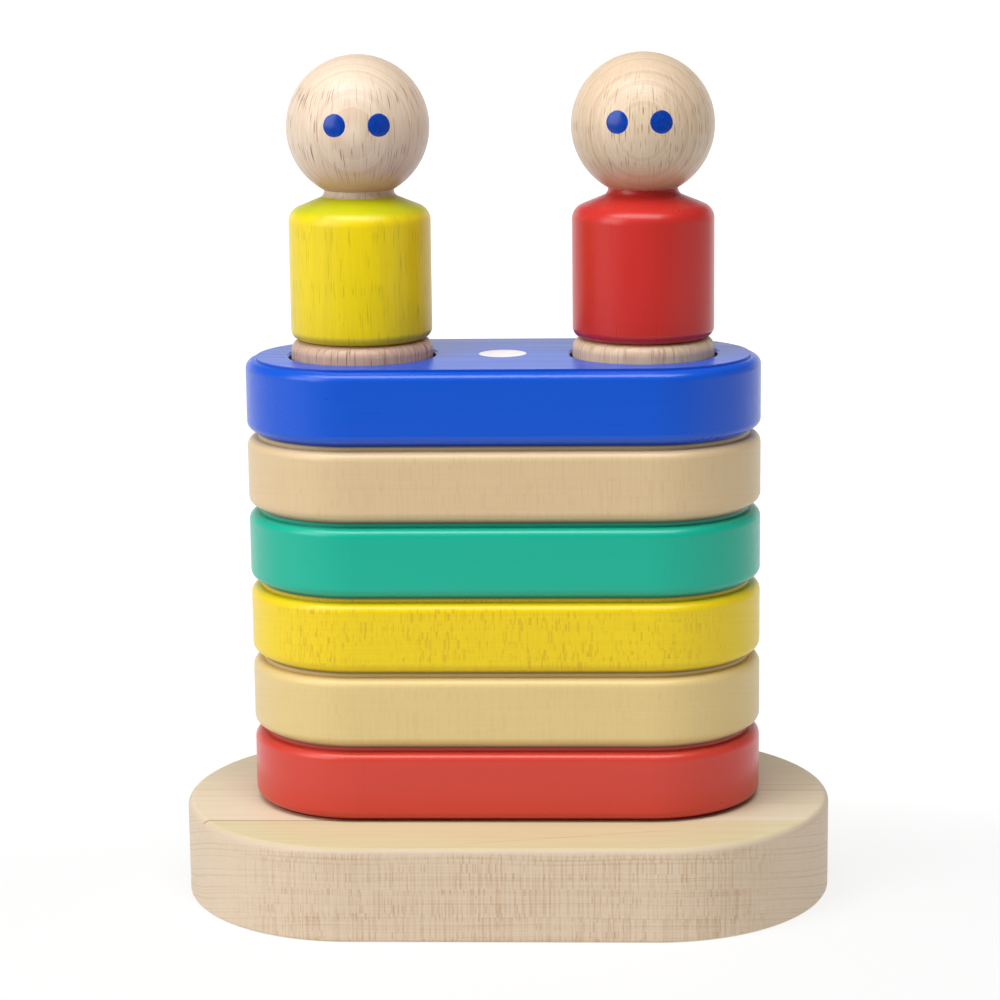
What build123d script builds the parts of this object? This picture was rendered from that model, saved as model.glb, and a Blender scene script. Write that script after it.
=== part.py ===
from build123d import *
import os

# Two-post wooden stacking toy with six two-hole rings and two peg figures.
# Millimetres, +Z up, +X to the right along the base, the figures face -Y.
# The origin is the centre of the base's underside.

# ---- driving dimensions ----------------------------------------------------

# Base: an oblong board glued up from two staves
BASE_LENGTH = 173.4
BASE_WIDTH = 103.0
BASE_THICKNESS = 25.0
BASE_END_DEPTH = 47.0        # length of each rounded end, along X
BASE_TOP_ROUND = 1.8
BASE_BOTTOM_ROUND = 0.7
STAVE_JOINT_Y = -27.3        # glue line between the front and the rear stave

# Posts: turned dowels with a glued tenon
POST_SPACING = 74.2
POST_DIAMETER = 37.4
POST_STANDS_PROUD = 4.5      # above the top ring
POST_TOP_ROUND = 3.0
TENON_DIAMETER = 24.0
TENON_LENGTH = 15.0
TENON_GLUE_GAP = 0.05
TENON_END_GAP = 0.5

# Rings: six equal oblong blocks with two post holes
RING_COUNT = 6
RING_LENGTH = 136.0
RING_WIDTH = 59.0
RING_THICKNESS = 20.0
RING_STEP_TOP = 1.2          # step that the round-over cutter leaves below the flat top
RING_STEP_BOTTOM = 0.8       # and above the flat underside
TOP_RING_STEP_TOP = 0.6      # the uppermost ring's step is shallower
RING_EDGE_ROUND = 2.3
RING_FACE_INSET = 2.8        # from the side to the edge of the flat top
HOLE_DIAMETER = 38.8
HOLE_EDGE_ROUND = 0.8

# Disc magnets, and the round plugs that seal them in
MAGNET_DIAMETER = 12.5
MAGNET_THICKNESS = 6.0
PLUG_DIAMETER = 12.6
POCKET_DIAMETER = 12.8
POST_PLUG_THICKNESS = 2.5
BASE_PLUG_THICKNESS = 4.0
FIGURE_PLUG_THICKNESS = 2.5
FIGURE_POCKET_PLAY = 0.2     # the figure's magnet is loose, so the figure turns about it

# Peg figures, turned in one piece
FIGURE_BODY_DIAMETER = 37.2
FIGURE_BOTTOM_ROUND = 2.6
FIGURE_SHOULDER_EDGE = 33.7  # height where the shoulder slope would meet the body's side
FIGURE_SHOULDER_TOP = 37.6   # height where the shoulder slope meets the neck
FIGURE_SHOULDER_ROUND = 4.0
FIGURE_NECK_DIAMETER = 18.3
FIGURE_NECK_COVE = 2.0       # hollow curve from the shoulder slope into the neck
FIGURE_HEAD_CENTRE = 55.4
FIGURE_HEAD_RADIUS = 18.7

# ---- derived levels ----------------------------------------------------------

POST_X = POST_SPACING / 2
RINGS_TOP = BASE_THICKNESS + RING_COUNT * RING_THICKNESS
POST_TOP = RINGS_TOP + POST_STANDS_PROUD
MAGNET_IN_RING = (RING_THICKNESS - MAGNET_THICKNESS) / 2

RING_COLOURS = ["red", "cream", "yellow", "teal", "beige", "blue"]   # bottom to top
SIDES = {"left": -POST_X, "right": POST_X}


def disc(diameter, x, bottom, top):
    """A round bar between two heights."""
    return Pos(x, 0, bottom) * Cylinder(
        diameter / 2, top - bottom, align=(Align.CENTER, Align.CENTER, Align.MIN)
    )


def one(shape):
    """The single solid of a shape."""
    solids = shape.solids()
    assert len(solids) == 1, len(solids)
    return solids[0]


def flat_edges(solid, z, keep):
    """Edges that lie at height z and that keep() accepts."""
    return [
        e for e in solid.edges()
        if abs(e.bounding_box().min.Z - z) < 1e-4
        and abs(e.bounding_box().max.Z - z) < 1e-4
        and keep(e)
    ]


def base_board():
    """The whole board, before it is divided at the glue line."""
    half = BASE_LENGTH / 2 - BASE_END_DEPTH
    w = BASE_WIDTH / 2
    outline = [
        Line((-half, -w), (half, -w)),
        EllipticalCenterArc((half, 0), BASE_END_DEPTH, w, start_angle=-90, arc_size=180),
        Line((half, w), (-half, w)),
        EllipticalCenterArc((-half, 0), BASE_END_DEPTH, w, start_angle=90, arc_size=180),
    ]
    board = one(extrude(make_face(Wire(outline)), amount=BASE_THICKNESS))
    board = one(fillet(flat_edges(board, BASE_THICKNESS, lambda e: True), BASE_TOP_ROUND))
    board = one(fillet(flat_edges(board, 0, lambda e: True), BASE_BOTTOM_ROUND))
    return board


def base_staves():
    """Front and rear stave, with the tenon sockets and the magnet pocket cut in the rear one."""
    board = base_board()
    reach = BASE_LENGTH
    front_block = Pos(0, STAVE_JOINT_Y, -1) * Box(
        reach, BASE_WIDTH, BASE_THICKNESS + 2, align=(Align.CENTER, Align.MAX, Align.MIN)
    )
    front = one(board & front_block)
    rear = board - front_block
    floor = BASE_THICKNESS - TENON_LENGTH - TENON_END_GAP
    for x in SIDES.values():
        rear = rear - disc(TENON_DIAMETER + 2 * TENON_GLUE_GAP, x, floor, BASE_THICKNESS + 1)
    pocket = BASE_THICKNESS - BASE_PLUG_THICKNESS - MAGNET_THICKNESS
    rear = rear - disc(POCKET_DIAMETER, 0, pocket, BASE_THICKNESS + 1)
    return front, one(rear)


def post(x):
    """A dowel on the base, its tenon below and its magnet pocket in the top."""
    body = disc(POST_DIAMETER, x, BASE_THICKNESS, POST_TOP)
    body = one(fillet(flat_edges(body, POST_TOP, lambda e: True), POST_TOP_ROUND))
    body = body + disc(TENON_DIAMETER, x, BASE_THICKNESS - TENON_LENGTH, BASE_THICKNESS + 1)
    pocket = POST_TOP - POST_PLUG_THICKNESS - MAGNET_THICKNESS
    body = body - disc(POCKET_DIAMETER, x, pocket, POST_TOP + 1)
    return one(body)


def post_hole(x, bottom, top):
    """The space of one post hole, flared at both rims so that the rims come out rounded."""
    r = HOLE_DIAMETER / 2
    e = HOLE_EDGE_ROUND
    c = e * (1 - 0.5 ** 0.5)
    profile = make_face(Wire([
        Line((0, bottom - 1), (r + e, bottom - 1)),
        Line((r + e, bottom - 1), (r + e, bottom)),
        ThreePointArc((r + e, bottom), (r + c, bottom + c), (r, bottom + e)),
        Line((r, bottom + e), (r, top - e)),
        ThreePointArc((r, top - e), (r + c, top - c), (r + e, top)),
        Line((r + e, top), (r + e, top + 1)),
        Line((r + e, top + 1), (0, top + 1)),
        Line((0, top + 1), (0, bottom - 1)),
    ]))
    return Pos(x, 0, 0) * revolve(Plane.XZ * profile, axis=Axis.Z)


def ring_plan(inset):
    """The ring's oblong outline, drawn in by an inset."""
    half = (RING_LENGTH - RING_WIDTH) / 2
    circle = Circle(RING_WIDTH / 2 - inset)
    return make_hull([*(Pos(-half, 0) * circle).edges(), *(Pos(half, 0) * circle).edges()])


def ring(bottom, step_top):
    """An oblong block with two post holes and a pocket in the middle. Its edges are rounded
    below a small step, so that the flat faces stand slightly proud."""
    top = bottom + RING_THICKNESS
    low, high = bottom + RING_STEP_BOTTOM, top - step_top
    block = one(Pos(0, 0, low) * extrude(ring_plan(0), amount=high - low))
    for z in (low, high):
        block = one(fillet(flat_edges(block, z, lambda e: True), RING_EDGE_ROUND))
    block = block + Pos(0, 0, bottom) * extrude(ring_plan(RING_FACE_INSET), amount=RING_THICKNESS)
    for x in SIDES.values():
        block = block - post_hole(x, bottom, top)
    block = block - disc(POCKET_DIAMETER, 0, bottom + MAGNET_IN_RING, top + 1)
    return one(block)


def figure(x):
    """A peg figure standing at height POST_TOP: round head, short neck, sloping shoulders."""
    body = FIGURE_BODY_DIAMETER / 2
    neck = FIGURE_NECK_DIAMETER / 2
    outline = Polyline(
        (0, 0), (body, 0), (body, FIGURE_SHOULDER_EDGE), (neck, FIGURE_SHOULDER_TOP),
        (neck, FIGURE_HEAD_CENTRE), (0, FIGURE_HEAD_CENTRE), close=True,
    )
    half = make_face(outline)

    def corner(px, py):
        return [
            v for v in half.vertices() if abs(v.X - px) < 1e-4 and abs(v.Y - py) < 1e-4
        ]

    half = fillet(corner(body, 0), FIGURE_BOTTOM_ROUND)
    half = fillet(corner(body, FIGURE_SHOULDER_EDGE), FIGURE_SHOULDER_ROUND)
    half = fillet(corner(neck, FIGURE_SHOULDER_TOP), FIGURE_NECK_COVE)
    turned = revolve(Plane.XZ * half, axis=Axis.Z)
    turned = turned + Pos(0, 0, FIGURE_HEAD_CENTRE) * Sphere(FIGURE_HEAD_RADIUS)
    depth = FIGURE_PLUG_THICKNESS + MAGNET_THICKNESS + FIGURE_POCKET_PLAY
    turned = turned - disc(POCKET_DIAMETER, 0, -1, depth)
    return one(Pos(x, 0, POST_TOP) * turned)


# ---- the pieces ----------------------------------------------------------------

pieces = {}

front_stave, rear_stave = base_staves()
pieces["base_front_stave"] = front_stave
pieces["base_rear_stave"] = rear_stave
base_magnet_top = BASE_THICKNESS - BASE_PLUG_THICKNESS
pieces["base_magnet"] = disc(
    MAGNET_DIAMETER, 0, base_magnet_top - MAGNET_THICKNESS, base_magnet_top
)
pieces["base_magnet_plug"] = disc(PLUG_DIAMETER, 0, base_magnet_top, BASE_THICKNESS)

for side, x in SIDES.items():
    plug_bottom = POST_TOP - POST_PLUG_THICKNESS
    pieces[f"{side}_post"] = post(x)
    pieces[f"{side}_post_magnet"] = disc(
        MAGNET_DIAMETER, x, plug_bottom - MAGNET_THICKNESS, plug_bottom
    )
    pieces[f"{side}_post_plug"] = disc(PLUG_DIAMETER, x, plug_bottom, POST_TOP)

for level, colour in enumerate(RING_COLOURS):
    bottom = BASE_THICKNESS + level * RING_THICKNESS
    magnet_bottom = bottom + MAGNET_IN_RING
    magnet_top = magnet_bottom + MAGNET_THICKNESS
    step_top = TOP_RING_STEP_TOP if level == RING_COUNT - 1 else RING_STEP_TOP
    pieces[f"{colour}_ring"] = ring(bottom, step_top)
    pieces[f"{colour}_ring_magnet"] = disc(MAGNET_DIAMETER, 0, magnet_bottom, magnet_top)
    pieces[f"{colour}_ring_plug"] = disc(PLUG_DIAMETER, 0, magnet_top, bottom + RING_THICKNESS)

for side, x in SIDES.items():
    plug_top = POST_TOP + FIGURE_PLUG_THICKNESS
    pieces[f"{side}_figure"] = figure(x)
    pieces[f"{side}_figure_plug"] = disc(PLUG_DIAMETER, x, POST_TOP, plug_top)
    pieces[f"{side}_figure_magnet"] = disc(
        MAGNET_DIAMETER, x,
        plug_top + FIGURE_POCKET_PLAY / 2,
        plug_top + FIGURE_POCKET_PLAY / 2 + MAGNET_THICKNESS,
    )

os.makedirs("parts", exist_ok=True)
for name, shape in pieces.items():
    solid = one(shape)
    box = solid.bounding_box()
    export_step(solid, f"parts/{name}.step")
    print(
        f"{name:22s} {solid.volume / 1000:9.3f} cm3  "
        f"z {box.min.Z:8.2f} to {box.max.Z:8.2f}  valid {solid.is_valid}"
    )
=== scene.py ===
import math

import bmesh
import bpy
from mathutils import Matrix, Vector


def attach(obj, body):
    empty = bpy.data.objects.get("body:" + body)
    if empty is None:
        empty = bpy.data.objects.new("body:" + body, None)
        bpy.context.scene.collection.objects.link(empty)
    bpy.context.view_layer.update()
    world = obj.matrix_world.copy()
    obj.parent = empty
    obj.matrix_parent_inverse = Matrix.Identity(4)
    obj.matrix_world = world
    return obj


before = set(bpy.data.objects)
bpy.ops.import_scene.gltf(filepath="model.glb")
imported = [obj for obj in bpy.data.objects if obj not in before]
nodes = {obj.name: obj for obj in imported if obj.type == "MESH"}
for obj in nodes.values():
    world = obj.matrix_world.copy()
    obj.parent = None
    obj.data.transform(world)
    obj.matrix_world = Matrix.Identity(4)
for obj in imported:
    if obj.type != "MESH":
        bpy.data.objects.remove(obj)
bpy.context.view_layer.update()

MM = 0.001


# ---- small node-tree helper ------------------------------------------------

def srgb(r, g, b):
    """8-bit display values to scene-linear."""
    out = []
    for v in (r, g, b):
        v /= 255.0
        out.append(v / 12.92 if v <= 0.04045 else ((v + 0.055) / 1.055) ** 2.4)
    return tuple(out) + (1.0,)


class Tree:
    """Builds a material's nodes with short calls. Sockets or plain numbers go in, sockets come out."""

    def __init__(self, name):
        self.mat = bpy.data.materials.new(name)
        self.mat.use_nodes = True
        self.nt = self.mat.node_tree
        self.nt.nodes.clear()
        self.out = self.nt.nodes.new("ShaderNodeOutputMaterial")
        self.bsdf = self.nt.nodes.new("ShaderNodeBsdfPrincipled")
        self.nt.links.new(self.bsdf.outputs["BSDF"], self.out.inputs["Surface"])
        coord = self.nt.nodes.new("ShaderNodeTexCoord")
        self.p = coord.outputs["Object"]
        sep = self.nt.nodes.new("ShaderNodeSeparateXYZ")
        self.nt.links.new(self.p, sep.inputs[0])
        self.x, self.y, self.z = sep.outputs
        facing = self.nt.nodes.new("ShaderNodeSeparateXYZ")
        self.nt.links.new(coord.outputs["Normal"], facing.inputs[0])
        self.nx, self.ny, self.nz = facing.outputs

    def _set(self, socket, value):
        if isinstance(value, bpy.types.NodeSocket):
            self.nt.links.new(value, socket)
        else:
            socket.default_value = value

    def math(self, op, a, b=0.0, c=0.0, clamp=False):
        n = self.nt.nodes.new("ShaderNodeMath")
        n.operation = op
        n.use_clamp = clamp
        self._set(n.inputs[0], a)
        self._set(n.inputs[1], b)
        if len(n.inputs) > 2:
            self._set(n.inputs[2], c)
        return n.outputs[0]

    def add(self, a, b):
        return self.math("ADD", a, b)

    def mul(self, a, b):
        return self.math("MULTIPLY", a, b)

    def sub(self, a, b):
        return self.math("SUBTRACT", a, b)

    def combine(self, x, y, z):
        n = self.nt.nodes.new("ShaderNodeCombineXYZ")
        for s, v in zip(n.inputs, (x, y, z)):
            self._set(s, v)
        return n.outputs[0]

    def scaled(self, sx, sy, sz, ox=0.0, oy=0.0, oz=0.0):
        """The position times a scale for each axis (per metre), plus an offset."""
        n = self.nt.nodes.new("ShaderNodeVectorMath")
        n.operation = "MULTIPLY_ADD"
        self._set(n.inputs[0], self.p)
        n.inputs[1].default_value = (sx, sy, sz)
        n.inputs[2].default_value = (ox, oy, oz)
        return n.outputs[0]

    def noise(self, vector, scale=1.0, detail=2.0, rough=0.5, dims="3D", w=0.0, distortion=0.0):
        n = self.nt.nodes.new("ShaderNodeTexNoise")
        n.noise_dimensions = dims
        if dims == "1D":
            self._set(n.inputs["W"], vector)
        else:
            self._set(n.inputs["Vector"], vector)
        n.inputs["Scale"].default_value = scale
        n.inputs["Detail"].default_value = detail
        n.inputs["Roughness"].default_value = rough
        n.inputs["Distortion"].default_value = distortion
        return n.outputs[0]

    def ramp(self, value, low, high, out_low=0.0, out_high=1.0, smooth=True):
        n = self.nt.nodes.new("ShaderNodeMapRange")
        n.interpolation_type = "SMOOTHSTEP" if smooth else "LINEAR"
        self._set(n.inputs["Value"], value)
        n.inputs["From Min"].default_value = low
        n.inputs["From Max"].default_value = high
        n.inputs["To Min"].default_value = out_low
        n.inputs["To Max"].default_value = out_high
        return n.outputs["Result"]

    def mix(self, fac, a, b, blend="MIX"):
        n = self.nt.nodes.new("ShaderNodeMix")
        n.data_type = "RGBA"
        n.blend_type = blend
        n.clamp_factor = True
        self._set(n.inputs[0], fac)
        self._set(n.inputs[6], a)
        self._set(n.inputs[7], b)
        return n.outputs[2]

    def bump(self, height, distance, strength=1.0):
        n = self.nt.nodes.new("ShaderNodeBump")
        n.inputs["Strength"].default_value = strength
        n.inputs["Distance"].default_value = distance
        self._set(n.inputs["Height"], height)
        return n.outputs[0]

    def finish(self, color, rough, normal=None, coat=0.0, coat_rough=0.1, specular=0.5):
        b = self.bsdf.inputs
        self._set(b["Base Color"], color)
        self._set(b["Roughness"], rough)
        b["Specular IOR Level"].default_value = specular
        if normal is not None:
            self._set(b["Normal"], normal)
        if coat:
            b["Coat Weight"].default_value = coat
            b["Coat Roughness"].default_value = coat_rough
        return self.mat


# Colours as 8-bit display values: the paler and the darker tone of each wood, and its flecks
LOOK = {
    "base": ((219, 199, 174), (194, 165, 134), (182, 136, 88)),
    "front_top": (0.92, 1.00, 0.84, 1.0),
    "rear_top": (1.00, 1.08, 1.06, 1.0),
    "edge": (204, 184, 162),
    "postL": ((204, 172, 148), (176, 138, 112), (104, 66, 50)),
    "postR": ((214, 188, 158), (194, 160, 130), (132, 94, 70)),
    "blue": ((0, 80, 200), (0, 72, 186), (0, 50, 150)),
    "beige": ((212, 186, 144), (202, 172, 130), (188, 148, 118)),
    "teal": ((0, 172, 144), (0, 162, 134), (0, 120, 96)),
    "yellow": ((233, 203, 0), (225, 191, 0), (190, 140, 0)),
    "cream": ((220, 194, 132), (210, 182, 120), (196, 160, 116)),
    "red": ((206, 62, 48), (198, 54, 40), (160, 34, 30)),
    "headL": ((220, 201, 179), (202, 172, 146), (124, 78, 52)),
    "headR": ((216, 194, 167), (196, 166, 135), (128, 88, 60)),
    "bodyL": ((233, 206, 0), (168, 146, 0)),
    "bodyR": ((196, 44, 38), (172, 32, 28)),
}

# ---- wood ------------------------------------------------------------------

def board_wood(name, light, dark, fleck, layer_slope, seed, layer_mm=1.2, layer_amount=0.5,
               fleck_amount=0.5, fibre_amount=0.5, drift_amount=0.5, rough=0.42, coat=0.0, coat_rough=0.2,
               specular=0.5, seam_y=None, lines=(), edge_pale=None, top_tint=None, bump=0.00002,
               dash=(0.55, 2.6, 6.5), hatch=0.0, painted_seam_shade=None):
    """Wood with its fibre along X. Growth layers lie nearly flat and rise along Y by layer_slope,
    so that they show as layers on the ends and as long lines on the top. Rays show as short upright
    dashes on the long sides, each cut off at the growth layers it crosses. dash gives their width
    and the two layer heights that they are cut at, in mm."""
    t = Tree(name)
    blur = t.mul(t.sub(t.noise(t.scaled(60, 60, 700, seed, seed, 0.0), detail=2.0), 0.5), 0.5)
    long_side = t.ramp(t.add(t.math("ABSOLUTE", t.ny), t.mul(blur, 0.5)), 0.62, 1.0)
    end_side = t.ramp(t.add(t.math("ABSOLUTE", t.nx), blur), 0.30, 1.05)
    top_side = t.ramp(t.math("ABSOLUTE", t.nz), 0.55, 0.95)
    # slow wander of the layers along the board
    wander = t.mul(t.sub(t.noise(t.scaled(9, 16, 30, seed, seed * 1.7, seed * 0.3), detail=2.0), 0.5), 5.0 * MM)
    s = t.add(t.add(t.z, t.mul(t.y, layer_slope)), wander)
    layers = t.noise(t.add(t.mul(s, 1.0 / (layer_mm * MM)), seed * 13.0), detail=1.5, rough=0.6, dims="1D")
    late = t.ramp(layers, 0.50, 0.66)                      # thin darker latewood
    # fine fibre streaks, about 0.3 mm across and 15 mm long
    fibre = t.noise(t.scaled(65, 2900, 2900, seed * 3.1, 0.0, seed), detail=2.5, rough=0.62)
    fibre2 = t.noise(t.scaled(13, 480, 480, seed * 1.3, seed, 0.0), detail=2.0, rough=0.55)
    # broad colour drift over the board
    drift = t.noise(t.scaled(14, 26, 60, seed * 2.2, seed * 0.9, 0.0), detail=3.0, rough=0.55)

    # upright dashes, in two sets of layers with different heights
    wide, low_mm, high_mm = dash
    uneven = t.mul(t.sub(t.noise(t.scaled(28, 0, 210, seed, 0.0, seed * 0.7), detail=1.0), 0.5), 3.0 * MM)
    dashes = []
    for k, (height_mm, cut_low, cut_high, reach) in enumerate(((low_mm, 0.56, 0.66, 1.0), (high_mm, 0.56, 0.68, 0.85))):
        level = t.math("FLOOR", t.mul(t.add(s, uneven), 1.0 / (height_mm * MM)))
        shift = t.mul(level, 17.37 + 5.1 * k)
        v = t.combine(t.mul(t.x, 1000.0 / wide), shift, t.mul(t.y, 120.0))
        d = t.ramp(t.noise(v, detail=1.0, rough=0.6), cut_low, cut_high)
        fade = t.ramp(t.noise(t.scaled(45, 20, 300 - 130 * k, seed * 1.9, k * 3.0, seed), detail=1.0), 0.32 + 0.08 * k, 0.58, 0.12, 1.0)
        dashes.append(t.mul(t.mul(d, fade), reach))
    flecks = t.mul(t.math("MAXIMUM", *dashes), long_side)
    # the close weave between them: hair lines up and down, and along
    mesh_v = t.noise(t.combine(t.mul(t.x, 1500.0), t.mul(level, 9.1), t.mul(t.y, 100.0)), detail=0.5)
    mesh_h = t.noise(t.add(t.mul(t.add(s, t.mul(uneven, 0.3)), 1500.0), seed), detail=0.8, dims="1D")
    gap = t.ramp(t.noise(t.scaled(45, 10, 420, seed, 0.0, seed), detail=1.0), 0.34, 0.62, 0.5, 1.0)
    weave = t.mul(t.mul(t.add(t.mul(t.ramp(mesh_v, 0.42, 0.66), 0.55), t.mul(t.ramp(mesh_h, 0.46, 0.68), 0.45)), gap),
                  t.mul(long_side, hatch))

    amount = t.add(t.mul(t.mul(late, t.add(0.10, t.mul(end_side, 0.55))), layer_amount),
                   t.add(t.mul(t.ramp(fibre, 0.30, 0.75), 0.26 * fibre_amount),
                         t.mul(t.mul(t.ramp(fibre2, 0.35, 0.70), t.add(0.35, t.mul(top_side, 0.45))), 0.35 * fibre_amount)))
    amount = t.math("ADD", amount, t.add(weave, t.mul(t.sub(drift, 0.5), drift_amount)), clamp=True)
    color = t.mix(amount, light, dark)
    color = t.mix(t.mul(flecks, fleck_amount), color, fleck)
    if top_tint is not None:
        color = t.mix(top_side, color, t.mix(1.0, color, top_tint, "MULTIPLY"))
    # single darker grain lines: (y0, slope, half width, strength, x from, x to), all in mm
    for y0, slope, half, strength, xa, xb in lines:
        wob = t.mul(t.sub(t.noise(t.scaled(40, 0, 0, y0, 0.0, 0.0), detail=2.0), 0.5), 0.9 * MM)
        d = t.math("ABSOLUTE", t.sub(t.sub(t.add(t.y, wob), y0 * MM), t.mul(t.x, slope)))
        line = t.mul(t.ramp(d, half * MM, 0.0), top_side)
        span = t.mul(t.ramp(t.x, (xa - 6) * MM, (xa + 6) * MM), t.ramp(t.x, (xb + 6) * MM, (xb - 6) * MM))
        color = t.mix(t.mul(t.mul(line, span), strength), color, fleck)
    if edge_pale is not None:
        # the sanded round-over is paler than the faces beside it
        rim = t.mul(t.ramp(t.nz, 0.06, 0.35), t.ramp(t.nz, 0.985, 0.80))
        color = t.mix(t.mul(rim, 0.7), color, edge_pale)
    if painted_seam_shade is not None:
        # painted shade: the stepped edges next to the two flat faces are darkened towards black, standing in for the
        # shade in the seams between the rings
        low, high = painted_seam_shade
        near = t.math("MAXIMUM", t.ramp(t.z, (high - 0.50) * MM, (high - 0.10) * MM), t.ramp(t.z, (low + 0.55) * MM, (low + 0.12) * MM))
        near = t.mul(near, t.ramp(t.math("ABSOLUTE", t.nz), 0.55, 0.25))
        color = t.mix(t.mul(near, 0.72), color, tuple(c * 0.16 for c in dark[:3]) + (1.0,))
    if seam_y is not None:
        d = t.math("ABSOLUTE", t.sub(t.y, seam_y))
        left = t.ramp(t.x, 10 * MM, -30 * MM, 0.12, 0.85)
        color = t.mix(t.mul(t.mul(t.ramp(d, 0.40 * MM, 0.08 * MM), t.ramp(t.nz, 0.25, 0.7)), left), color, srgb(136, 90, 60))
    height = t.add(t.mul(fibre, 0.7), t.mul(fibre2, 0.3))
    roughness = t.add(rough, t.mul(t.sub(fibre2, 0.5), 0.16))
    return t.finish(color, roughness, t.bump(height, bump, 0.6), coat, coat_rough, specular)


def turned_wood(name, x0, light, dark, fleck, seed, rough=0.36, coat=0.25, specular=0.5, paint=None,
                paint_to=None, paint_dark=None, paint_cover=0.9, paint_rough=0.3, shoulder=None, oil_and_underside_shade=None,
                fleck_amount=0.5, ring_amount=0.28, centre_z=0.2, dash=(0.42, 7.0), bump=0.00001,
                paint_flecks=0.7, cut=(0.61, 0.69)):
    """Wood turned about an upright axis at x = x0, with its fibre along Z. The growth layers
    face -Y, so they show as rings within rings on the front of a ball and as upright lines on a
    cylinder. Below the height paint_to the piece is painted. dash is the width and height of the
    pores' dark dashes, in mm."""
    t = Tree(name)
    lx = t.sub(t.x, x0)
    wander = t.mul(t.sub(t.noise(t.scaled(45, 45, 30, seed, seed * 0.7, seed * 1.9), detail=1.5), 0.5), 1.6 * MM)
    bow = t.mul(t.math("POWER", t.math("ABSOLUTE", t.sub(lx, 0.0012)), 2.0), 5.0)
    tilt = t.mul(t.sub(t.z, centre_z), 0.035)
    s = t.add(t.add(t.add(t.y, bow), tilt), wander)
    layers = t.noise(t.add(t.mul(s, 1.0 / (1.25 * MM)), seed * 7.0), detail=0.6, rough=0.5, dims="1D")
    late = t.ramp(layers, 0.52, 0.66)
    early = t.ramp(t.math("ABSOLUTE", t.sub(layers, 0.5)), 0.035, 0.008)
    around = t.math("ARCTAN2", lx, t.mul(t.y, -1.0))           # angle round the axis from -Y
    upright = t.ramp(t.math("ABSOLUTE", t.nz), 0.90, 0.55)      # pores are long on upright faces only
    fibre = t.noise(t.combine(t.add(t.mul(around, 44.0), seed), t.add(t.mul(t.z, 55.0), seed), seed), detail=2.0, rough=0.6)
    fibre2 = t.noise(t.scaled(560, 560, 18, seed * 1.1, 0.0, seed), detail=2.0)
    drift = t.noise(t.scaled(50, 50, 22, seed * 2.0, seed, 0.0), detail=3.0)
    dw, dh = dash
    ray = t.noise(t.combine(t.mul(around, 18.7 / dw), t.mul(t.z, 1000 / dh), seed * 3.0), detail=0.8, rough=0.5)
    patch = t.noise(t.scaled(160, 160, 60, seed, 2.0, seed * 4.0), detail=2.0)
    flecks = t.mul(t.mul(t.ramp(ray, *cut), t.ramp(patch, 0.28, 0.60, 0.35, 1.0)), upright)
    amount = t.add(t.mul(late, ring_amount), t.add(t.mul(t.ramp(fibre, 0.36, 0.64), 0.32), t.mul(t.ramp(fibre2, 0.35, 0.7), 0.16)))
    amount = t.math("ADD", amount, t.mul(t.sub(drift, 0.5), 0.5), clamp=True)
    color = t.mix(amount, light, dark)
    color = t.mix(t.mul(early, 1.1 * ring_amount), color, tuple(min(1.0, c * 1.12) for c in light[:3]) + (1.0,))
    color = t.mix(t.mul(flecks, fleck_amount), color, fleck)
    if oil_and_underside_shade is not None:
        # darker on the downward faces beneath the ball: end grain that takes more oil, and painted shade, as only the
        # downward side is darkened
        color = t.mix(t.ramp(t.nz, -0.30, -0.85, 0.0, 0.6), color, oil_and_underside_shade)
    roughness = t.add(rough, t.mul(t.sub(fibre2, 0.5), 0.14))
    if paint is not None:
        edge = t.mul(t.sub(t.noise(t.scaled(700, 700, 0, seed, seed, 0.0), detail=2.0), 0.5), 0.35 * MM)
        covered = t.ramp(t.add(t.z, edge), (paint_to + 0.12) * MM, (paint_to - 0.12) * MM)
        # the stain lets some grain and flecks through
        through = t.math("ADD", t.mul(amount, 0.40), t.mul(flecks, paint_flecks), clamp=True)
        painted = t.mix(t.mul(through, 1.0 - paint_cover), paint, paint_dark)
        cloud = t.noise(t.scaled(60, 60, 35, seed * 4.0, 0.0, 0.0), detail=2.0)
        painted = t.mix(t.ramp(cloud, 0.35, 0.7, 0.0, 0.14), painted, paint_dark)
        if shoulder is not None:
            painted = t.mix(t.ramp(t.nz, 0.35, 0.9, 0.0, 0.75), painted, shoulder)
        color = t.mix(covered, color, painted)
        roughness = t.add(t.mul(covered, paint_rough - rough), roughness)
    height = t.sub(t.mul(fibre, 0.6), t.mul(flecks, 0.5))
    return t.finish(color, roughness, t.bump(height, bump, 0.5), coat, 0.3, specular)


def plastic(name, base, dark, rough, seed, x0=0.0):
    """Moulded disc with faint concentric turning marks and scuffs, darkened towards its edge as painted shade of the
    gap round it.
    """
    t = Tree(name)
    lx = t.sub(t.x, x0)
    r = t.math("SQRT", t.add(t.math("POWER", lx, 2.0), t.math("POWER", t.y, 2.0)))
    marks = t.noise(t.mul(r, 2600.0), detail=1.0, dims="1D")
    cloud = t.noise(t.scaled(420, 420, 420, seed, 0.0, 0.0), detail=3.0)
    # painted shade: the disc darkens towards its edge, for the thin gap round the plug
    rim = t.ramp(r, 5.7 * MM, 6.3 * MM)
    color = t.mix(t.add(t.mul(t.ramp(cloud, 0.4, 0.8), 0.35), t.mul(rim, 0.35)), base, dark)
    return t.finish(color, t.add(rough, t.mul(t.sub(cloud, 0.5), 0.1)), t.bump(marks, 0.000012, 0.5))


def nickel(name, seed):
    """Nickel-plated magnet: fine tumbling scratches."""
    t = Tree(name)
    scratch = t.noise(t.scaled(2200, 500, 900, seed, 0.0, 0.0), detail=3.0)
    color = t.mix(t.ramp(scratch, 0.35, 0.7), srgb(196, 196, 190), srgb(150, 150, 146))
    t.bsdf.inputs["Metallic"].default_value = 1.0
    return t.finish(color, t.add(0.2, t.mul(scratch, 0.2)), t.bump(scratch, 0.000008, 0.5))


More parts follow.
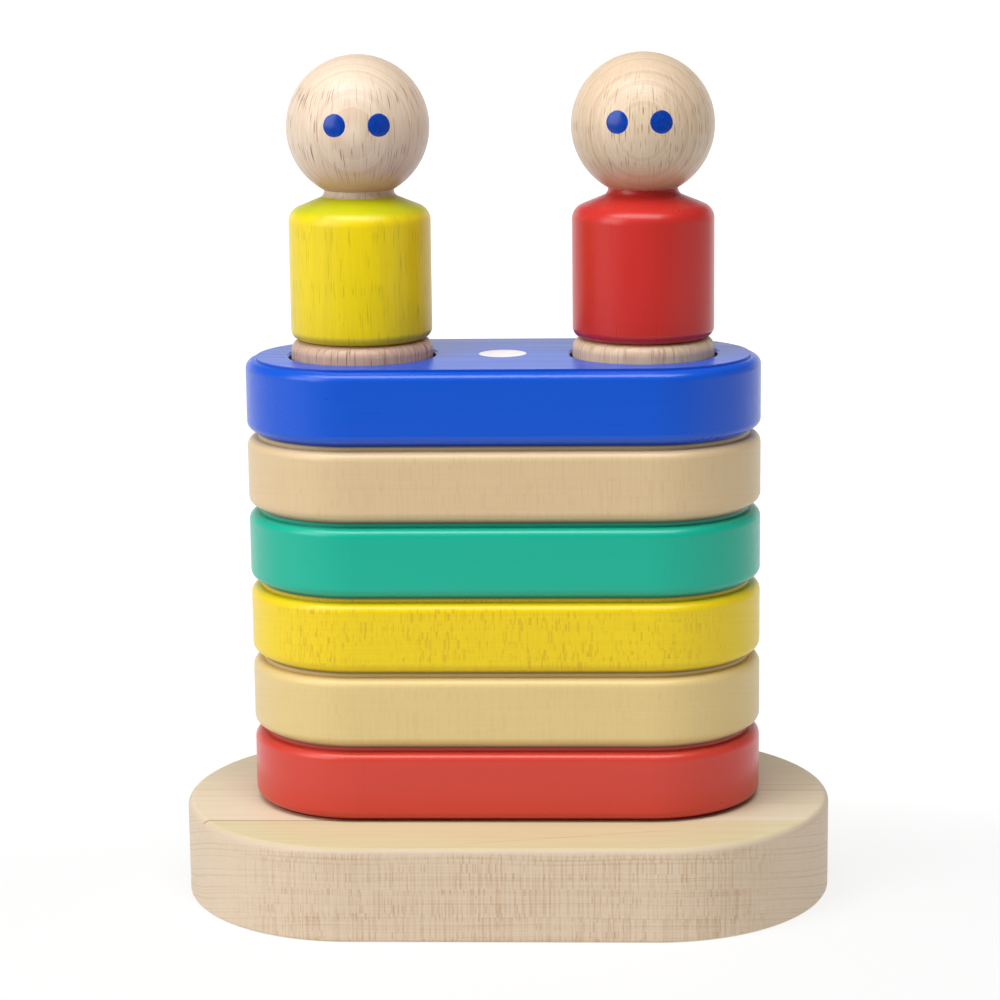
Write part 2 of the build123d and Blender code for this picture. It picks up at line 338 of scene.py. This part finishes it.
def glossy_dot(name, deep, light, centre):
    """A drop of enamel: deep colour, slightly uneven, glossy."""
    t = Tree(name)
    cloud = t.noise(t.scaled(900, 900, 900, centre[0] * 100, 0.0, 0.0), detail=2.0)
    color = t.mix(t.ramp(cloud, 0.35, 0.75), deep, light)
    return t.finish(color, t.add(0.20, t.mul(cloud, 0.1)), t.bump(cloud, 0.00001, 0.4), 0.25, 0.2, 0.25)


def dress(node, material):
    """Gives a CAD node its material, in its own material slots."""
    data = nodes[node].data
    if not data.materials:
        data.materials.append(material)
    for i in range(len(data.materials)):
        data.materials[i] = material


# ---- the base ----------------------------------------------------------------

SEAM = -27.3 * MM
dress("base_front_stave", board_wood(
    "maple_front", srgb(*LOOK["base"][0]), srgb(*LOOK["base"][1]), srgb(*LOOK["base"][2]), 0.28, 3.0,
    layer_mm=0.75, layer_amount=0.6, fleck_amount=0.42, fibre_amount=0.5, drift_amount=0.35, rough=0.5, specular=0.25,
    seam_y=SEAM, hatch=0.8, dash=(0.62, 2.3, 8.0), top_tint=LOOK["front_top"], edge_pale=srgb(*LOOK["edge"]),
    lines=((-44.6, 0.215, 0.55, 0.32, -10, 44), (-42.2, 0.07, 0.35, 0.25, 10, 70)),
))
dress("base_rear_stave", board_wood(
    "maple_rear", srgb(*LOOK["base"][0]), srgb(*LOOK["base"][1]), srgb(*LOOK["base"][2]), 0.28, 3.0,
    layer_mm=0.75, layer_amount=0.6, fleck_amount=0.42, fibre_amount=0.6, drift_amount=0.35, rough=0.5, specular=0.25,
    seam_y=SEAM, hatch=0.8, dash=(0.62, 2.3, 8.0), top_tint=LOOK["rear_top"], edge_pale=srgb(*LOOK["edge"]),
    lines=((0.2, 0.0, 0.42, 0.7, 56, 90), (0.2, 0.0, 0.3, 0.3, -90, -56),
           (5.6, 0.0, 0.35, 0.35, 56, 90), (-10.5, 0.0, 0.35, 0.3, 60, 84)),
))

# ---- posts -----------------------------------------------------------------------

dress("left_post", turned_wood(
    "beech_left_post", -37.1 * MM, srgb(*LOOK["postL"][0]), srgb(*LOOK["postL"][1]), srgb(*LOOK["postL"][2]), 2.0,
    rough=0.46, coat=0.0, fleck_amount=0.8, dash=(0.6, 12.0), centre_z=0.147, cut=(0.55, 0.64)))
dress("right_post", turned_wood(
    "beech_right_post", 37.1 * MM, srgb(*LOOK["postR"][0]), srgb(*LOOK["postR"][1]), srgb(*LOOK["postR"][2]), 6.0,
    rough=0.46, coat=0.0, fleck_amount=0.5, dash=(0.6, 12.0), centre_z=0.147, cut=(0.57, 0.67)))

# ---- rings -----------------------------------------------------------------------

RINGS = {
    "blue": dict(layer_amount=0.1, fleck_amount=0.0, fibre_amount=0.2, rough=0.30, hatch=0.1),
    "beige": dict(layer_amount=0.35, fleck_amount=0.20, rough=0.38, dash=(0.8, 4.0, 10.0), hatch=0.35),
    "teal": dict(layer_amount=0.3, fleck_amount=0.0, rough=0.33, hatch=0.12),
    "yellow": dict(layer_amount=0.4, fleck_amount=0.48, rough=0.35, hatch=0.6, dash=(0.62, 1.6, 2.6)),
    "cream": dict(layer_amount=0.3, fleck_amount=0.15, rough=0.38, dash=(0.8, 3.0, 8.0), hatch=0.3),
    "red": dict(layer_amount=0.25, fleck_amount=0.0, rough=0.32, hatch=0.1),
}
for i, (colour, look) in enumerate(RINGS.items()):
    look = dict(look)
    # each ring gets painted shade on the stepped edges at its two flat faces, where the rings meet; for the blue ring
    # the upper plane sits 5 mm above its top, so only its bottom is darkened
    dress(f"{colour}_ring", board_wood(
        f"{colour}_stain", *(srgb(*c) for c in LOOK[colour]),
        0.12 + 0.03 * i, 11.0 + 7.3 * i, layer_mm=1.6, drift_amount=0.35, coat=0.07, coat_rough=0.14,
        specular=0.42, bump=0.00001, painted_seam_shade=(25.0 + 20.0 * (5 - i), 45.0 + 20.0 * (5 - i) + (5.0 if i == 0 else 0.0)), **look))
    dress(f"{colour}_ring_plug", plastic(
        f"{colour}_ring_plug_white", srgb(244, 244, 243), srgb(214, 214, 214), 0.38, 5.0 + i))
    dress(f"{colour}_ring_magnet", nickel(f"{colour}_ring_magnet_nickel", 1.0 + i))

# ---- figures ---------------------------------------------------------------------

HEAD = 204.9 * MM
HEAD_RADIUS = 18.7 * MM
dress("left_figure", turned_wood(
    "beech_left_figure", -37.1 * MM, *(srgb(*c) for c in LOOK["headL"]), 4.0,
    rough=0.38, paint=srgb(*LOOK["bodyL"][0]), paint_dark=srgb(*LOOK["bodyL"][1]), paint_cover=0.35,
    paint_to=186.95, paint_rough=0.36, shoulder=srgb(176, 188, 0), oil_and_underside_shade=srgb(176, 118, 94), coat=0.1, specular=0.4,
    fleck_amount=0.8, centre_z=0.206))
dress("right_figure", turned_wood(
    "beech_right_figure", 37.1 * MM, *(srgb(*c) for c in LOOK["headR"]), 9.0,
    rough=0.36, paint=srgb(*LOOK["bodyR"][0]), paint_dark=srgb(*LOOK["bodyR"][1]), paint_cover=0.85,
    paint_to=188.6, paint_rough=0.30, dash=(0.34, 4.5), oil_and_underside_shade=srgb(184, 134, 106), coat=0.08, specular=0.35, fleck_amount=0.65, ring_amount=0.32, centre_z=0.208,
    cut=(0.585, 0.685)))
for side, x in (("left", -37.1), ("right", 37.1)):
    plug = turned_wood(f"{side}_plug_wood", x * MM, srgb(226, 196, 160), srgb(204, 168, 130),
                       srgb(160, 118, 86), 12.0 + x, rough=0.5, coat=0.0)
    dress(f"{side}_figure_plug", plug)
    dress(f"{side}_post_plug", plug)
    dress(f"{side}_figure_magnet", nickel(f"{side}_figure_magnet_nickel", 20.0 + x))
    dress(f"{side}_post_magnet", nickel(f"{side}_post_magnet_nickel", 40.0 + x))
dress("base_magnet", nickel("base_magnet_nickel", 60.0))
dress("base_magnet_plug", turned_wood("base_plug_wood", 0.0, srgb(228, 200, 166), srgb(206, 174, 138),
                                      srgb(164, 124, 90), 17.0, rough=0.5, coat=0.0))


def painted_eye(name, x0, azimuth, elevation, body):
    """A round drop of enamel on the head: a thin cap that follows the ball and thins out at its edge."""
    radius, height, rings, around = 3.08 * MM, 0.14 * MM, 14, 56
    az, el = math.radians(azimuth), math.radians(elevation)
    out = Vector((math.sin(az) * math.cos(el), -math.cos(az) * math.cos(el), math.sin(el)))
    side = Vector((math.cos(az), math.sin(az), 0.0))
    up = out.cross(side) * -1.0
    if up.z < 0:
        up = -up
    centre = Vector((x0, 0.0, HEAD))
    bm = bmesh.new()
    rows = []
    for k in range(rings + 1):
        f = k / rings
        # a full, slightly domed drop with a soft rim that dips into the wood
        lift = height * (1.0 - f ** 6) * (1.0 - 0.35 * f * f) - 0.03 * MM * f ** 6
        ang = radius * f / HEAD_RADIUS
        count = 1 if k == 0 else around
        row = []
        for j in range(count):
            a = 2 * math.pi * j / count
            wob = 1.0 + 0.012 * math.sin(3 * a + x0 * 90) * f
            d = out * math.cos(ang * wob) + (side * math.cos(a) + up * math.sin(a)) * math.sin(ang * wob)
            row.append(bm.verts.new(centre + d.normalized() * (HEAD_RADIUS + lift)))
        rows.append(row)
    for j in range(around):
        bm.faces.new((rows[0][0], rows[1][j], rows[1][(j + 1) % around]))
    for k in range(1, rings):
        for j in range(around):
            n = (j + 1) % around
            bm.faces.new((rows[k][j], rows[k + 1][j], rows[k + 1][n], rows[k][n]))
    # closed underneath, inside the head
    back = []
    for j in range(around):
        v = rows[rings][j].co
        back.append(bm.verts.new(centre + (v - centre).normalized() * (HEAD_RADIUS - 0.25 * MM)))
    for j in range(around):
        n = (j + 1) % around
        bm.faces.new((rows[rings][j], back[j], back[n], rows[rings][n]))
    bm.faces.new(back[::-1])
    bmesh.ops.recalc_face_normals(bm, faces=bm.faces)
    mesh = bpy.data.meshes.new(name)
    bm.to_mesh(mesh)
    bm.free()
    for f in mesh.polygons:
        f.use_smooth = True
    eye = bpy.data.objects.new(name, mesh)
    bpy.context.scene.collection.objects.link(eye)
    mesh.materials.append(glossy_dot(name + "_enamel", srgb(0, 52, 146), srgb(0, 62, 166), (x0, azimuth, elevation)))
    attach(eye, body)
    return eye


painted_eye("left_figure_eye_a", -37.1 * MM, -13.9, 5.0, "left_figure_body")
painted_eye("left_figure_eye_b", -37.1 * MM, 22.1, 4.9, "left_figure_body")
painted_eye("right_figure_eye_a", 37.1 * MM, -21.2, 5.65, "right_figure_body")
painted_eye("right_figure_eye_b", 37.1 * MM, 14.5, 5.6, "right_figure_body")

# ---- floor, light and camera ---------------------------------------------------------

floor_mesh = bpy.data.meshes.new("floor")
floor_mesh.from_pydata([(-1.3, -0.5, 0.0), (1.3, -0.5, 0.0), (1.3, 0.7, 0.0), (-1.3, 0.7, 0.0)], [], [(0, 1, 2, 3)])
floor = bpy.data.objects.new("floor", floor_mesh)
bpy.context.scene.collection.objects.link(floor)
t = Tree("self_lit_pale_floor")
# the floor gives off its own light, which makes up most of its brightness, a little more towards its far edge
glow = t.math("MAXIMUM", t.ramp(t.y, 0.0, 0.11, 0.0, 0.5), t.ramp(t.y, 0.10, 0.34))
t.nt.links.new(t.add(0.79, t.mul(glow, 0.24)), t.bsdf.inputs["Emission Strength"])
t.bsdf.inputs["Emission Color"].default_value = (1.0, 1.0, 1.0, 1.0)
floor_mesh.materials.append(t.finish(srgb(112, 112, 112), 0.8, specular=0.1))

# A studio: bright near and below the horizon, dim overhead and where the photographer stands
world = bpy.data.worlds.new("studio")
bpy.context.scene.world = world
world.use_nodes = True
wt = world.node_tree
wt.nodes.clear()
coord = wt.nodes.new("ShaderNodeTexCoord")
parts = wt.nodes.new("ShaderNodeSeparateXYZ")
wt.links.new(coord.outputs["Generated"], parts.inputs[0])


def world_range(value, low, high, out_low, out_high):
    n = wt.nodes.new("ShaderNodeMapRange")
    n.interpolation_type = "SMOOTHSTEP"
    wt.links.new(value, n.inputs["Value"])
    for key, v in (("From Min", low), ("From Max", high), ("To Min", out_low), ("To Max", out_high)):
        n.inputs[key].default_value = v
    return n.outputs["Result"]


def world_math(op, a, b):
    n = wt.nodes.new("ShaderNodeMath")
    n.operation = op
    for s, v in zip(n.inputs, (a, b)):
        if isinstance(v, bpy.types.NodeSocket):
            wt.links.new(v, s)
        else:
            s.default_value = v
    return n.outputs[0]


low_band = world_range(parts.outputs[2], 0.42, 0.12, 0.0, 1.0)
away = world_range(parts.outputs[1], -0.85, -0.35, 0.0, 1.0)
# and nothing bright stands on the right, and little on the left
left = world_math("MULTIPLY", world_range(parts.outputs[0], -0.30, -0.62, 0.0, 0.5), world_range(parts.outputs[1], 0.85, 0.60, 0.0, 1.0))
right = world_math("MULTIPLY", world_range(parts.outputs[0], 0.30, 0.62, 0.0, 0.72), world_range(parts.outputs[1], 0.85, 0.60, 0.0, 1.0))
away = world_math("MULTIPLY", away, world_math("SUBTRACT", 1.0, world_math("MAXIMUM", left, right)))
strength = world_math("ADD", 0.15, world_math("MULTIPLY", world_math("MULTIPLY", low_band, away), 1.0))
background = wt.nodes.new("ShaderNodeBackground")
background.inputs["Color"].default_value = (1.0, 1.0, 1.0, 1.0)
wt.links.new(strength, background.inputs["Strength"])
wt.links.new(background.outputs[0], wt.nodes.new("ShaderNodeOutputWorld").inputs["Surface"])


def softbox(name, position, target, width, height, radiance, color=(1.0, 1.0, 1.0)):
    """An area light of a given brightness, so that its size sets how much light it gives."""
    light = bpy.data.lights.new(name, "AREA")
    light.shape = "RECTANGLE"
    light.size = width
    light.size_y = height
    light.energy = radiance * width * height * math.pi
    light.color = color
    ob = bpy.data.objects.new(name, light)
    bpy.context.scene.collection.objects.link(ob)
    ob.location = position
    ob.rotation_euler = (Vector(target) - Vector(position)).to_track_quat("-Z", "Y").to_euler()
    return ob


softbox("overhead", (-0.08, -0.37, 1.0), (0, 0, 0.1), 1.1, 0.48, 6.6)
softbox("key", (-0.56, -0.43, 0.46), (0, 0, 0.1), 0.48, 0.48, 3.4)

# A pinhole at the photograph's place: right, up and back axes as columns
RIGHT = Vector((0.99913304, 0.03995525, -0.0116935))
UP = Vector((0.00347154, 0.19994321, 0.97980134))
BACK = Vector((0.04148624, -0.97899249, 0.19963116))
camera_data = bpy.data.cameras.new("camera")
camera_data.sensor_fit = "HORIZONTAL"
camera_data.sensor_width = 36.0
camera_data.lens = 2983.2 / 1000.0 * 36.0
camera = bpy.data.objects.new("camera", camera_data)
bpy.context.scene.collection.objects.link(camera)
rot = Matrix((RIGHT, UP, BACK)).transposed()
camera.matrix_world = Matrix.Translation((31.8196 * MM, -778.244 * MM, 264.2268 * MM)) @ rot.to_4x4()
camera_data.clip_start = 0.01
camera_data.clip_end = 100.0
bpy.context.scene.camera = camera
bpy.context.scene.view_settings.view_transform = "Standard"
